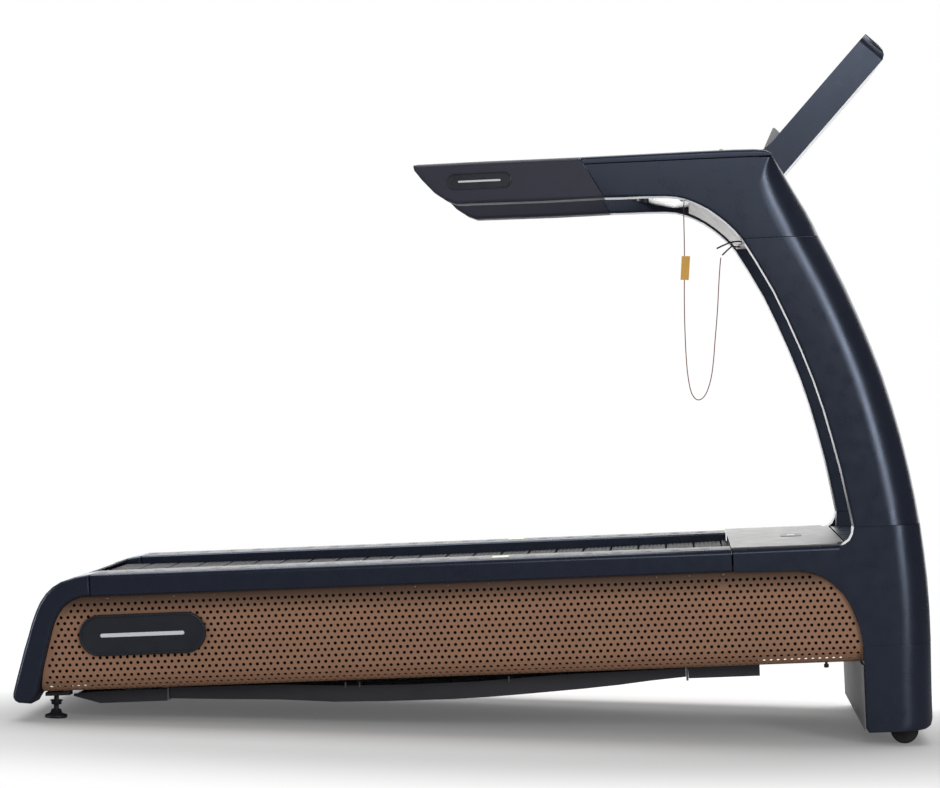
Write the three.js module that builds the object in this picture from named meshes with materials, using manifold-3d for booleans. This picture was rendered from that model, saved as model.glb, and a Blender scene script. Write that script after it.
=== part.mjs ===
// Self-powered slat-belt treadmill, millimetres, +Z up, +X towards the front of the machine.
// Deck parts are laid out in a deck frame (u forward, y left, w up) that is pitched nose-up by TILT.
import * as THREE from 'three';
import { mergeVertices } from 'three/addons/utils/BufferGeometryUtils.js';
import Module from 'manifold-3d';

const wasm = await Module();
wasm.setup();

// ---- driving dimensions -------------------------------------------------------------------
const TILT = THREE.MathUtils.degToRad(3.7);
const SHIFT_X = 2.15;            // centres the overall length on the origin
const OUTER_Y = 460;            // half of the overall width
const RAIL_IN_Y = 315;          // inner face of each foot rail
const RAIL_TOP = 401;
const RAIL_BOTTOM = 350;
const RAIL_REAR = -866.7;
const RAIL_FRONT = 615;
const ARM_IN_Y = 350;           // inner face of masts and arms
const PANEL_Y = 448;            // outer face of the perforated side panels
const PANEL_BOTTOM = 129.5;
const DRUM_W = 262;
const REAR_DRUM_U = -872;
const FRONT_DRUM_U = 600;
const BELT_R = 120;             // outer radius of the slat belt on its drums
const TOP_DISH = 6;             // how far the running surface dips between the drums
const RETURN_SAG = 42;          // how far the return run hangs
const SLATS = 54;
const SLAT_HALF = 300;
const GEN_U = 905;
const GEN_W = 235;
const BUMP_PITCH = 66.7;
const BUMPS = 22;
const MARKER_BUMP = 7;
const WHEEL_X = 999;
const WHEEL_R = 32;
const FOOT_X = -978;
const FOOT_Y = 360;

// ---- helpers ------------------------------------------------------------------------------
function outward(geometry) {
  const g = geometry.index ? geometry : mergeVertices(geometry, 1e-4);
  const p = g.attributes.position;
  const index = g.index.array;
  const a = new THREE.Vector3();
  const b = new THREE.Vector3();
  const c = new THREE.Vector3();
  let volume = 0;
  for (let i = 0; i < index.length; i += 3) {
    a.fromBufferAttribute(p, index[i]);
    b.fromBufferAttribute(p, index[i + 1]);
    c.fromBufferAttribute(p, index[i + 2]);
    volume += a.dot(b.cross(c));
  }
  if (volume < 0) {
    for (let i = 0; i < index.length; i += 3) {
      const keep = index[i];
      index[i] = index[i + 1];
      index[i + 1] = keep;
    }
  }
  return g;
}

// Welds equal corners and drops triangles that collapse to a line.
function joined(geometry) {
  const g = mergeVertices(geometry, 1e-3);
  const kept = [];
  for (let i = 0; i < g.index.count; i += 3) {
    const [a, b, c] = [g.index.getX(i), g.index.getX(i + 1), g.index.getX(i + 2)];
    if (a !== b && b !== c && a !== c) {
      kept.push(a, b, c);
    }
  }
  g.setIndex(kept);
  return g;
}

function welded(geometry) {
  const g = geometry.clone();
  g.deleteAttribute('normal');
  g.deleteAttribute('uv');
  return outward(joined(g));
}

function toSolid(geometry) {
  const g = welded(geometry);
  const mesh = new wasm.Mesh({
    numProp: 3,
    vertProperties: new Float32Array(g.attributes.position.array),
    triVerts: new Uint32Array(g.index.array),
  });
  return new wasm.Manifold(mesh);
}

function toGeometry(solid) {
  const mesh = solid.getMesh();
  const g = new THREE.BufferGeometry();
  g.setAttribute('position', new THREE.BufferAttribute(new Float32Array(mesh.vertProperties), 3));
  g.setIndex(new THREE.BufferAttribute(new Uint32Array(mesh.triVerts), 1));
  return g;
}

function unite(...parts) {
  let all = toSolid(parts[0]);
  for (const part of parts.slice(1)) {
    all = all.add(toSolid(part));
  }
  return toGeometry(all);
}

function cut(body, ...tools) {
  let left = toSolid(body);
  for (const tool of tools) {
    left = left.subtract(toSolid(tool));
  }
  return toGeometry(left);
}

function common(one, other) {
  return toGeometry(toSolid(one).intersect(toSolid(other)));
}

function shapeOf(points) {
  return new THREE.Shape(points.map(([x, y]) => new THREE.Vector2(x, y)));
}

// Side outline in (u, w), swept across the machine from yLow to yHigh.
function sideSolid(points, yLow, yHigh, bevel = 0, steps = 2) {
  const g = new THREE.ExtrudeGeometry(shapeOf(points), {
    depth: yHigh - yLow - 2 * bevel,
    bevelEnabled: bevel > 0,
    bevelThickness: bevel,
    bevelSize: bevel,
    bevelOffset: -bevel,
    bevelSegments: steps,
    curveSegments: 8,
  });
  g.rotateX(Math.PI / 2);
  g.translate(0, yHigh - bevel, 0);
  return welded(g);
}

// Cross-section in (y, w), swept along the deck from u0 to u1.
function alongSolid(points, u0, u1) {
  const g = new THREE.ExtrudeGeometry(shapeOf(points), { depth: u1 - u0, bevelEnabled: false });
  const swap = new THREE.Matrix4().makeBasis(
    new THREE.Vector3(0, 1, 0),
    new THREE.Vector3(0, 0, 1),
    new THREE.Vector3(1, 0, 0),
  );
  g.applyMatrix4(swap);
  g.translate(u0, 0, 0);
  return welded(g);
}

// Plan outline in (u, y), swept up from w0 to w1.
function planSolid(points, w0, w1) {
  const g = new THREE.ExtrudeGeometry(shapeOf(points), { depth: w1 - w0, bevelEnabled: false });
  g.translate(0, 0, w0);
  return welded(g);
}

function box(u0, u1, y0, y1, w0, w1) {
  const g = new THREE.BoxGeometry(u1 - u0, y1 - y0, w1 - w0);
  g.translate((u0 + u1) / 2, (y0 + y1) / 2, (w0 + w1) / 2);
  return welded(g);
}

// Turned piece about an axis along Y through (u, w): profile of [radius, y].
function turned(profile, u, w, segments = 24) {
  const g = new THREE.LatheGeometry(profile.map(([r, y]) => new THREE.Vector2(r, y)), segments);
  g.translate(u, 0, w);
  return welded(g);
}

// Turned piece about a vertical axis: profile of [radius, height].
function turnedUp(profile, x, y, segments = 20) {
  const g = new THREE.LatheGeometry(profile.map(([r, h]) => new THREE.Vector2(r, h)), segments);
  g.rotateX(Math.PI / 2);
  g.translate(x, y, 0);
  return welded(g);
}

function rod(r, y0, y1, u, w, segments = 16) {
  return turned([[0, y0], [r, y0], [r, y1], [0, y1]], u, w, segments);
}

function mirrored(geometry) {
  const g = geometry.clone();
  g.scale(1, -1, 1);
  return outward(g);
}

function arc(cx, cy, r, from, to, steps) {
  const points = [];
  for (let i = 0; i <= steps; i += 1) {
    const a = THREE.MathUtils.degToRad(from + ((to - from) * i) / steps);
    points.push([cx + r * Math.cos(a), cy + r * Math.sin(a)]);
  }
  return points;
}

function pill(cu, cw, length, height, steps = 10) {
  const r = height / 2;
  const reach = length / 2 - r;
  return [
    ...arc(cu + reach, cw, r, -90, 90, steps),
    ...arc(cu - reach, cw, r, 90, 270, steps),
  ];
}

function roundedRect(x0, x1, y0, y1, r, steps = 5) {
  return [
    ...arc(x1 - r, y0 + r, r, -90, 0, steps),
    ...arc(x1 - r, y1 - r, r, 0, 90, steps),
    ...arc(x0 + r, y1 - r, r, 90, 180, steps),
    ...arc(x0 + r, y0 + r, r, 180, 270, steps),
  ];
}

// Cross-section ring between a rear point (s = 0) and a front point (s = length).
function section(length, y0, y1, radii) {
  const limit = length / 2 - 0.5;
  const [frontOut, rearOut, frontIn, rearIn] = radii.map((r) => Math.min(r, limit));
  return [
    ...arc(rearIn, y0 + rearIn, rearIn, 180, 270, 2),
    ...arc(length - frontIn, y0 + frontIn, frontIn, 270, 360, 2),
    ...arc(length - frontOut, y1 - frontOut, frontOut, 0, 90, 8),
    ...arc(rearOut, y1 - rearOut, rearOut, 90, 180, 3),
  ];
}

// Skin through rings of equal point count, closed by a fan on each end.
function loft(rings) {
  const count = rings[0].length;
  const positions = rings.flat().flat();
  const index = [];
  for (let i = 0; i + 1 < rings.length; i += 1) {
    for (let j = 0; j < count; j += 1) {
      const a = i * count + j;
      const b = i * count + ((j + 1) % count);
      index.push(a, b, a + count, b, b + count, a + count);
    }
  }
  const last = (rings.length - 1) * count;
  for (let j = 1; j + 1 < count; j += 1) {
    index.push(0, j + 1, j);
    index.push(last, last + j, last + j + 1);
  }
  const g = new THREE.BufferGeometry();
  g.setAttribute('position', new THREE.BufferAttribute(new Float32Array(positions), 3));
  g.setIndex(index);
  return outward(joined(g));
}

// Lofted limb: each station is [rear point, front point, corner radii].
function limb(stations, y0, y1) {
  const rings = stations.map(([rear, front, radii]) => {
    const du = front[0] - rear[0];
    const dw = front[1] - rear[1];
    const length = Math.hypot(du, dw);
    return section(length, y0, y1, radii).map(([s, y]) => [
      rear[0] + (du * s) / length,
      y,
      rear[1] + (dw * s) / length,
    ]);
  });
  return loft(rings);
}

// ---- finishes -----------------------------------------------------------------------------
const NAVY = { color: 0x2c3341, roughness: 0.42, metalness: 0.25 };
const SLEEVE = { color: 0x444654, roughness: 0.65, metalness: 0.0 };
const COPPER = { color: 0x86624f, roughness: 0.5, metalness: 0.35 };
const BLACK = { color: 0x17181c, roughness: 0.55, metalness: 0.0 };
const GREY = { color: 0x9a9b9a, roughness: 0.5, metalness: 0.1 };
const STEEL = { color: 0x8e9196, roughness: 0.35, metalness: 0.9 };
const DARK_STEEL = { color: 0x3a3c40, roughness: 0.5, metalness: 0.6 };
const LIME = { color: 0xa9c95b, roughness: 0.45, metalness: 0.0 };
const SLAT = { color: 0x26262a, roughness: 0.85, metalness: 0.0 };
const RED = { color: 0xb3261e, roughness: 0.35, metalness: 0.0 };
const AMBER = { color: 0xf0bc55, roughness: 0.6, metalness: 0.0 };
const CORD = { color: 0x7a4a3c, roughness: 0.8, metalness: 0.0 };
const GLASS = { color: 0x0c0d10, roughness: 0.08, metalness: 0.0 };

const treadmill = new THREE.Group();
treadmill.name = 'self_powered_treadmill';

function place(name, geometry, finish) {
  const mesh = new THREE.Mesh(geometry, new THREE.MeshStandardMaterial(finish));
  mesh.name = name;
  treadmill.add(mesh);
}

// Deck-frame piece: pitched nose-up with the deck.
function deckPiece(name, geometry, finish) {
  const g = geometry.clone();
  g.rotateY(-TILT);
  g.translate(SHIFT_X, 0, 0);
  place(name, g, finish);
}

function deckPair(name, leftGeometry, finish) {
  deckPiece(`left_${name}`, leftGeometry, finish);
  deckPiece(`right_${name}`, mirrored(leftGeometry), finish);
}

// ---- frame and running gear ---------------------------------------------------------------
function bearingBlock(u, w) {
  const plate = box(u - 32, u + 32, 318, 338.6, w - 32, w + 32);
  const bore = rod(12.9, 310, 345, u, w, 24);
  return [plate, bore];
}

function mainFrame() {
  const beam = box(-955, 1036, 338, 378, 215, 285);
  const rearPost = box(-955, -940, 338, 378, 118, 285);
  const footShelf = box(-998, -940, 338, 378, 116, 124);
  const members = [beam, rearPost, footShelf, mirrored(beam), mirrored(rearPost), mirrored(footShelf)];
  for (const [u0, u1, w0, w1] of [[-670, -630, 225, 265], [-70, -30, 225, 265], [430, 465, 225, 265]]) {
    members.push(box(u0, u1, -339, 339, w0, w1));
  }
  members.push(box(1010, 1036, -339, 339, 215, 285));
  const bores = [];
  for (const u of [REAR_DRUM_U, FRONT_DRUM_U]) {
    const [plate, bore] = bearingBlock(u, DRUM_W);
    members.push(plate, mirrored(plate));
    bores.push(bore, mirrored(bore));
  }
  members.push(box(GEN_U - 28, GEN_U + 28, 320, 338.6, GEN_W - 20, GEN_W + 28));
  bores.push(rod(10.4, 310, 345, GEN_U, GEN_W, 24));
  for (const side of [-1, 1]) {
    const hole = turnedUp([[0, 0], [7.2, 0], [7.2, 90], [0, 90]], FOOT_X - SHIFT_X, side * FOOT_Y, 16);
    hole.rotateY(TILT);
    bores.push(hole);
  }
  return cut(unite(...members), ...bores);
}

function drumProfile(driven) {
  const core = [
    [0, -337], [12.5, -337], [12.5, -300], [40, -300], [40, -298], [100, -298], [100, -255],
    [36, -250], [36, 250], [100, 255], [100, 298], [40, 298], [40, 300],
  ];
  const drive = driven ? [[70, 301], [70, 314.5], [40, 315]] : [];
  return [...core, ...drive, [12.5, driven ? 316 : 301], [12.5, 337], [0, 337]];
}

function upperRun(u) {
  const t = (u - (REAR_DRUM_U + FRONT_DRUM_U) / 2) / ((FRONT_DRUM_U - REAR_DRUM_U) / 2);
  return DRUM_W + BELT_R - TOP_DISH * (1 - t * t);
}

function returnRun(u) {
  const t = (u - (REAR_DRUM_U + FRONT_DRUM_U) / 2) / ((FRONT_DRUM_U - REAR_DRUM_U) / 2);
  return DRUM_W - BELT_R - RETURN_SAG * (1 - t * t);
}

// Outer line of the slat belt, walked once round at even spacing.
function beltPath(samples) {
  const line = [];
  const span = FRONT_DRUM_U - REAR_DRUM_U;
  for (let i = 0; i < 60; i += 1) {
    const u = REAR_DRUM_U + (span * i) / 60;
    line.push([u, upperRun(u)]);
  }
  line.push(...arc(FRONT_DRUM_U, DRUM_W, BELT_R, 90, -84, 29));
  for (let i = 1; i < 60; i += 1) {
    const u = FRONT_DRUM_U - (span * i) / 60;
    line.push([u, returnRun(u)]);
  }
  line.push(...arc(REAR_DRUM_U, DRUM_W, BELT_R, 270, 96, 29));
  line.push(line[0]);
  const lengths = [0];
  for (let i = 1; i < line.length; i += 1) {
    const step = Math.hypot(line[i][0] - line[i - 1][0], line[i][1] - line[i - 1][1]);
    lengths.push(lengths[i - 1] + step);
  }
  const total = lengths[lengths.length - 1];
  const out = [];
  let k = 0;
  for (let i = 0; i < samples; i += 1) {
    const want = (total * i) / samples;
    while (lengths[k + 1] < want) {
      k += 1;
    }
    const f = (want - lengths[k]) / (lengths[k + 1] - lengths[k]);
    const du = line[k + 1][0] - line[k][0];
    const dw = line[k + 1][1] - line[k][1];
    const along = Math.hypot(du, dw);
    out.push({
      u: line[k][0] + du * f,
      w: line[k][1] + dw * f,
      tu: du / along,
      tw: dw / along,
    });
  }
  return { points: out, total };
}

// Closed band following the belt line between two depths below the slat surface.
function bandRing(points, depth) {
  return points.map((p) => [p.u + p.tw * depth, p.w - p.tu * depth]);
}

function beltBand(points, y0, y1, shallow, deep) {
  const outer = sideSolid(bandRing(points, shallow), y0, y1);
  const inner = sideSolid(bandRing(points, deep), y0 - 5, y1 + 5);
  return cut(outer, inner);
}

function slat(p, pitch) {
  const half = pitch / 2 - 2.2;
  const outline = [[-half, -9], [half, -9], [half, -1.2], [half - 1.2, 0], [1.2 - half, 0], [-half, -1.2]];
  const g = sideSolid(outline, -SLAT_HALF, SLAT_HALF);
  const turn = new THREE.Matrix4().makeRotationY(-Math.atan2(p.tw, p.tu));
  g.applyMatrix4(turn);
  g.translate(p.u, 0, p.w);
  return g;
}

function slatBelt() {
  const { points, total } = beltPath(SLATS);
  let body = toSolid(beltBand(points, 262, 290, 7, 13));
  body = body.add(toSolid(beltBand(points, -290, -262, 7, 13)));
  for (const p of points) {
    body = body.add(toSolid(slat(p, total / SLATS)));
  }
  return toGeometry(body);
}

function bearingRail() {
  const bar = box(-745, 478, 238, 247, 266, 350);
  const parts = [bar];
  for (let u = -725; u <= 470; u += 99) {
    parts.push(rod(14, 244, 292, u, upperRun(u) - 13.4 - 14, 8));
  }
  return unite(...parts);
}

function generatorRotor() {
  return turned([
    [0, -80], [10, -80], [10, -62], [88, -62], [92, -58], [92, -32], [88, -28], [10, -28],
    [10, 300.5], [32, 300.5], [32, 315.5], [10, 315.5], [10, 337], [0, 337],
  ], GEN_U, GEN_W, 24);
}

function generatorHousing() {
  const can = turned([
    [10.8, 20], [80, 20], [86, 28], [86, 182], [80, 190], [10.8, 190], [10.8, 20],
  ], GEN_U, GEN_W, 32);
  const foot = box(GEN_U + 60, 1009.5, 50, 160, GEN_W - 18, GEN_W + 45);
  const bore = rod(10.8, 10, 200, GEN_U, GEN_W, 32);
  return cut(unite(can, foot), bore);
}

function driveBelt() {
  const big = 70.4;
  const small = 32.4;
  const du = GEN_U - FRONT_DRUM_U;
  const dw = GEN_W - DRUM_W;
  const lean = THREE.MathUtils.radToDeg(Math.atan2(dw, du));
  const wrap = THREE.MathUtils.radToDeg(Math.acos((big - small) / Math.hypot(du, dw)));
  const outline = (extra) => [
    ...arc(GEN_U, GEN_W, small + extra, lean - wrap, lean + wrap, 12),
    ...arc(FRONT_DRUM_U, DRUM_W, big + extra, lean + wrap, lean + 360 - wrap, 20),
  ];
  const outer = sideSolid(outline(3.2), 302, 313.5);
  const inner = sideSolid(outline(0), 290, 330);
  return cut(outer, inner);
}

// ---- rails, panels and covers -------------------------------------------------------------
function rail() {
  const top = RAIL_TOP;
  return alongSolid([
    [RAIL_IN_Y, 372], [396, 372], [396, RAIL_BOTTOM], [457, RAIL_BOTTOM], [OUTER_Y, RAIL_BOTTOM + 3],
    ...arc(OUTER_Y - 13, top - 13, 13, 0, 90, 5),
    [446, top], [446, top - 3.2], [331, top - 3.2], [331, top], [319, top], [RAIL_IN_Y, top - 4],
  ], RAIL_REAR, RAIL_FRONT);
}

function bumpAt(u, y) {
  const g = new THREE.CylinderGeometry(4, 8, 2.4, 6);
  g.rotateX(Math.PI / 2);
  g.translate(u, y, RAIL_TOP + 0.9);
  return welded(g);
}

function railTread() {
  const parts = [box(RAIL_REAR + 0.4, RAIL_FRONT - 0.4, 331.4, 445.6, RAIL_TOP - 2.9, RAIL_TOP - 0.2)];
  for (let k = 0; k < BUMPS; k += 1) {
    if (k !== MARKER_BUMP) {
      const u = 553 - BUMP_PITCH * k;
      parts.push(bumpAt(u, 412));
    }
  }
  return unite(...parts);
}

function railMarker() {
  return planSolid(roundedRect(64, 103, 372, 440, 4, 2), RAIL_TOP, RAIL_TOP + 1.6);
}

const CAP_OUTER = [
  [-867.1, 401], [-903, 396], [-937, 386], [-957, 374.5], [-973, 360], [-987, 341], [-998, 319],
  [-1008.5, 293], [-1017, 266], [-1028.5, 233], [-1038, 202], [-1049.5, 165], [-1059, 131],
  [-1059.5, 122], [-1055, 114], [-1047, 109], [-1017, 106],
];
const CAP_INNER = [
  [-1001, 130], [-984.5, 195], [-968, 253], [-962, 274], [-955, 294], [-946, 311], [-935, 326],
  [-920, 338], [-903, 346], [-886, 349.4], [-867.1, 350],
];

function endCap() {
  const body = sideSolid([...CAP_OUTER, ...CAP_INNER], RAIL_IN_Y, OUTER_Y, 9, 3);
  return cut(body, box(-1070, -905, 300, 352, 90, 240));
}

function rearCrossCover() {
  const outer = CAP_OUTER.slice(0, 15).map(([u, w]) => [u + 1, w - 1]);
  const inner = CAP_OUTER.slice(0, 15).map(([u, w], i) => {
    const t = i / 14;
    return [u + 1.2 + 4.5 * t, w - 5 + 4.5 * t];
  });
  const outline = [...outer.slice(1), ...inner.slice(1).reverse()];
  const apron = common(sideSolid(outline, -351.4, 351.4), box(-1100, -900, -360, 360, 80, 239.4));
  return unite(sideSolid(outline, -314.5, 314.5), apron);
}

const ARCH = [
  [619.3, 350], [770, 347], [793, 342], [815, 334.5], [834, 323], [850, 308], [867, 290],
  [880.5, 268], [891, 243], [899, 217], [904, 192], [907, 168.5],
];

function sidePanel() {
  const outline = [
    [-996, PANEL_BOTTOM], [906, PANEL_BOTTOM],
    ...[...ARCH].reverse().map(([u, w]) => [u - 0.6, w - 0.5]),
    ...[...CAP_INNER].reverse().map(([u, w]) => [u + 0.8, w - 0.6]),
  ];
  const skin = alongSolid([
    ...arc(PANEL_Y - 45, PANEL_BOTTOM + 45, 45, -90, 0, 6),
    [PANEL_Y, 351], [PANEL_Y - 2.5, 351],
    ...arc(PANEL_Y - 45, PANEL_BOTTOM + 45, 42.5, 0, -90, 6),
  ], -1010, 910);
  return common(sideSolid(outline, 380, 455), skin);
}

function sideBadge() {
  return sideSolid(pill(-751, 258, 297, 96, 12), PANEL_Y + 0.4, PANEL_Y + 9, 3, 2);
}

function bellyPan(outline, inset, wTop) {
  const body = sideSolid(outline, -360, 360);
  const us = outline.map((p) => p[0]);
  const u0 = Math.min(...us);
  const u1 = Math.max(...us);
  const hollow = sideSolid(inset, -357.5, 357.5);
  return cut(body, hollow, box(u0 - 5, u1 + 5, -357.5, 357.5, wTop - 1, wTop + 80));
}

const TROUGH_LOW = [
  [-706, 98], [-575, 91.5], [-449, 86], [-322, 76], [-196, 73], [-43, 72], [40, 74], [109, 77],
  [185, 81], [261, 85], [346, 91], [418, 98], [500, 104],
];

function bellyRear() {
  const low = [[-934, 112], [-872, 93], [-714, 93]];
  return bellyPan(
    [...low, [-714, 121], [-872, 121], [-934, 118]],
    [[-940, 116], [-872, 95.5], [-710, 95.5], [-710, 130], [-940, 130]],
    119,
  );
}

function bellyMiddle() {
  const low = TROUGH_LOW.map(([u, w]) => [u, w]);
  const high = [[500, 124], [212, 120], [9, 111], [-143, 110], [-295, 113], [-447, 121], [-706, 124]];
  const inside = TROUGH_LOW.map(([u, w]) => [u, w + 2.5]);
  inside[0][0] -= 5;
  inside[inside.length - 1][0] += 5;
  const body = sideSolid([...low, ...high], -360, 360);
  return cut(body, sideSolid([...inside, [505, 140], [-711, 140]], -357.5, 357.5));
}

function bellyFront() {
  return bellyPan(
    [[506, 100], [671, 100], [671, 126], [506, 126]],
    [[500, 102.5], [668.5, 102.5], [668.5, 140], [500, 140]],
    139,
  );
}

function deckCover() {
  return planSolid([
    [615.8, -446], [854, -446], [860, -440], [860, -384.6], [876, -384.6], [876, 384.6],
    [860, 384.6], [860, 440], [854, 446], [615.8, 446],
  ], 401.2, 404.4);
}

const LEG_FRONT = [
  [168.4, 1065.6], [245, 1065.5], [313.5, 1063.3], [382, 1058.4], [440.6, 1052.3],
];

function baseHousing() {
  const front = LEG_FRONT.map(([w, u]) => [[908, w], [u, w], [72, 3, 3, 3]]);
  front[0][0][0] = 907;
  const column = limb(front, 385, OUTER_Y);
  const plinth = limb([
    [[893, 404.8], [1056, 404.8], [3, 3, 3, 3]],
    [[896, 440.6], [1052.3, 440.6], [3, 3, 3, 3]],
  ], ARM_IN_Y, 390);
  const shelf = sideSolid([
    ...ARCH, [940, 168.5], [940, 440.6], [896.5, 440.6], [893, 424], [886, 411], [876, 404],
    [868, 400.8], [619.3, 400.8],
  ].reverse(), 385, OUTER_Y);
  const edge = alongSolid([
    ...arc(OUTER_Y - 12, 389, 12, 0, 90, 5), [OUTER_Y - 12, 406], [OUTER_Y + 3, 406], [OUTER_Y + 3, 389],
  ], 600, 862);
  return unite(cut(shelf, edge), column, plinth);
}

function legShroud() {
  const stations = [
    [[912, -30.5], [1048, -30.5], [66, 4, 4, 4]],
    [[907, -22], [1058, -24], [72, 4, 4, 4]],
    [[907, -10], [1062.5, -10], [76, 3, 3, 3]],
    [[907, 39.4], [1062.9, 39.4], [76, 3, 3, 3]],
    [[907, 108], [1064.1, 108], [76, 3, 3, 3]],
    [[907, 168], [1065.6, 168], [76, 3, 3, 3]],
  ];
  const body = limb(stations, 345, OUTER_Y);
  return cut(body, box(950, 1040, 372, 408, -60, 50));
}

const FRONT_LINE = [
  [1062, -18], [1062.9, 39], [1064.1, 108], [1065.6, 168], [1065.5, 245], [1063.3, 313],
  [1058, 366], [1048, 388], [1030, 400], [1000, 404], [880, 404],
];

function frontCrossCover() {
  const inner = [
    [880, 400], [1000, 399.5], [1027, 396], [1043, 385], [1052.8, 364], [1058, 312], [1060, 245],
    [1060, 168], [1058.6, 108], [1057.4, 39], [1056.5, -18],
  ];
  const whole = sideSolid([...FRONT_LINE, ...inner], -344.6, 344.6);
  const shoulders = sideSolid([
    [1065.6, 168.8], [1065.5, 245], [1063.3, 313], [1058, 366], [1048, 388], [1030, 400], [1000, 404],
    [880, 404], [880, 400], [1000, 399.5], [1027, 396], [1043, 385], [1052.8, 364], [1058, 312],
    [1060, 245], [1060, 168.8],
  ], -384.6, 384.6);
  return unite(whole, shoulders);
}

function frontRearPlate() {
  return box(903.2, 906.5, -452, 452, -27, 124);
}

// ---- masts, arms and console --------------------------------------------------------------
const MAST = [
  [441, 897, 1052.3], [503, 886, 1043.5], [572, 873.5, 1031.5], [642, 857.5, 1017.5],
  [711, 840.5, 1000.6], [780, 820, 981.8], [850, 795, 958.6], [920, 767, 932.7],
  [990, 736.5, 904.6], [1060, 699, 873.3], [1110, 670, 848.8],
];

function mast() {
  const stations = MAST.map(([w, rear, front]) => [[rear, w], [front, w], [92, 6, 8, 6]]);
  return limb(stations, ARM_IN_Y, OUTER_Y);
}

const ELBOW = [
  [[669.8, 1110.4], [848.6, 1110.4], 92], [[653, 1131], [837, 1139], 91],
  [[634, 1150], [823, 1167], 88], [[613, 1168], [806, 1197], 83],
  [[594, 1182], [789, 1227], 75], [[572, 1194.5], [771, 1259], 63],
  [[556, 1202], [760, 1277.5], 44], [[542, 1207.5], [747.5, 1296.6], 14],
  [[524, 1212.5], [715, 1297], 6], [[500, 1215.5], [660, 1297.3], 5], [[450, 1217], [560, 1297.4], 4],
  [[400, 1217.2], [440, 1297.4], 3], [[359.3, 1218], [315.8, 1297.4], 3],
];

function elbow() {
  const stations = ELBOW.map(([rear, front, r]) => [rear, front, [r, 7, Math.min(r, 6), 6]]);
  return limb(stations, ARM_IN_Y, OUTER_Y);
}

function armTopCap() {
  const stations = [
    [[315.6, 1297.8], [306.4, 1314], [9, 1, 5, 1]],
    [[420, 1297.8], [420, 1314.4], [11, 1, 6, 1]],
    [[560, 1297.8], [560, 1315.2], [12, 1, 6, 1]],
    [[660, 1297.7], [660, 1315.2], [12, 1, 6, 1]],
    [[700, 1297.5], [706, 1314], [12, 1, 6, 1]],
    [[722, 1297.3], [729, 1311.5], [10, 1, 6, 1]],
    [[735, 1297.2], [741, 1305.5], [6, 1, 4, 1]],
    [[744, 1297.1], [746.5, 1299.6], [1, 0.5, 1, 0.5]],
  ];
  return limb(stations, ARM_IN_Y, OUTER_Y);
}

function handGrip() {
  const r = [14, 9, 12, 9];
  const pairs = [
    [358.7, 1218, 305.3, 1314], [300, 1217.4, 250, 1314], [212, 1217, 180, 1314.2],
    [115, 1218, 100, 1314.5], [50, 1218.6, 40, 1314.3], [18, 1219, 0, 1314], [-4, 1228, -25, 1313.9],
    [-31, 1247, -48, 1313.8], [-58, 1277, -66, 1313.7], [-75, 1300, -77, 1312],
  ];
  return limb(pairs.map(([a, b, c, d]) => [[a, b], [c, d], r]), ARM_IN_Y, OUTER_Y);
}

function armBadge() {
  return sideSolid(pill(74, 1269.5, 148, 37, 10), OUTER_Y + 0.2, OUTER_Y + 2.6, 0.9, 1);
}

function consoleBridge() {
  const core = sideSolid([
    [556.4, 1312], [556.4, 1209], [580, 1197], [602, 1183], [624, 1166], [645, 1147], [660, 1131],
    [673, 1113], [846, 1113], [834, 1142], [820, 1168], [803, 1197], [786, 1226], [770, 1253],
    [757, 1276], [744, 1297], [736, 1306], [724, 1312],
  ].reverse(), -349.6, 349.6);
  const lip = sideSolid([[700, 1113.5], [662, 1101], [662.8, 1098.6], [706, 1113.5]].reverse(), -349.6, -296);
  const well = turnedUp([[0, 0], [21.5, 0], [21.5, 20], [0, 20]], 0, 0, 28);
  well.translate(640, 0, 1303);
  return cut(unite(core, lip), well);
}

function trayUnderCover() {
  const r = 62;
  const outline = [
    [556, -349.6], [556, 349.6], ...arc(396, 349.6 - r, r, 90, 0, 6), ...arc(396, r - 349.6, r, 0, -90, 6),
  ];
  const slab = planSolid(outline, 1222, 1300);
  return cut(slab, sideSolid([
    [380, 1210], [380, 1262], [470, 1232], [520, 1222.2], [556.5, 1217], [556.5, 1210],
  ].reverse(), -360, 360), box(531, 553, -342, -318, 1215, 1234));
}

const FACE_FOOT = [774, 1362];
const FACE_DIR = [0.6854, 0.7282];
const FACE_OUT = [-0.7282, 0.6854];

function facePoint(along, out) {
  return [
    FACE_FOOT[0] + FACE_DIR[0] * along + FACE_OUT[0] * out,
    FACE_FOOT[1] + FACE_DIR[1] * along + FACE_OUT[1] * out,
  ];
}

function faceSlab(outline, out0, out1) {
  const g = new THREE.ExtrudeGeometry(shapeOf(outline), { depth: out1 - out0, bevelEnabled: false });
  const basis = new THREE.Matrix4().makeBasis(
    new THREE.Vector3(FACE_DIR[0], 0, FACE_DIR[1]),
    new THREE.Vector3(0, 1, 0),
    new THREE.Vector3(FACE_OUT[0], 0, FACE_OUT[1]),
  );
  g.translate(0, 0, out0);
  g.applyMatrix4(basis);
  g.translate(FACE_FOOT[0], 0, FACE_FOOT[1]);
  return welded(g);
}

function consoleShell() {
  const body = sideSolid([
    [720, 1316.6], [734, 1324], [746, 1333], [760, 1346], facePoint(0, 0), facePoint(303.4, 0),
    facePoint(302, -40), facePoint(299, -54), facePoint(292, -64), facePoint(280, -70),
    facePoint(-66, -70), [772.5, 1257], [746.6, 1300.3], [739, 1308.5], [727.5, 1314.6],
  ].reverse(), -300, 300);
  const corners = faceSlab([
    [-200, -302], ...arc(303.5 - 42, -302 + 42, 42, -90, 0, 6), ...arc(303.5 - 42, 302 - 42, 42, 0, 90, 6),
    [-200, 302],
  ], -200, 20);
  const pocket = faceSlab(roundedRect(34.5, 285.5, -250.5, 250.5, 10, 3), -3.4, 10);
  return cut(common(body, corners), pocket);
}

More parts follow.
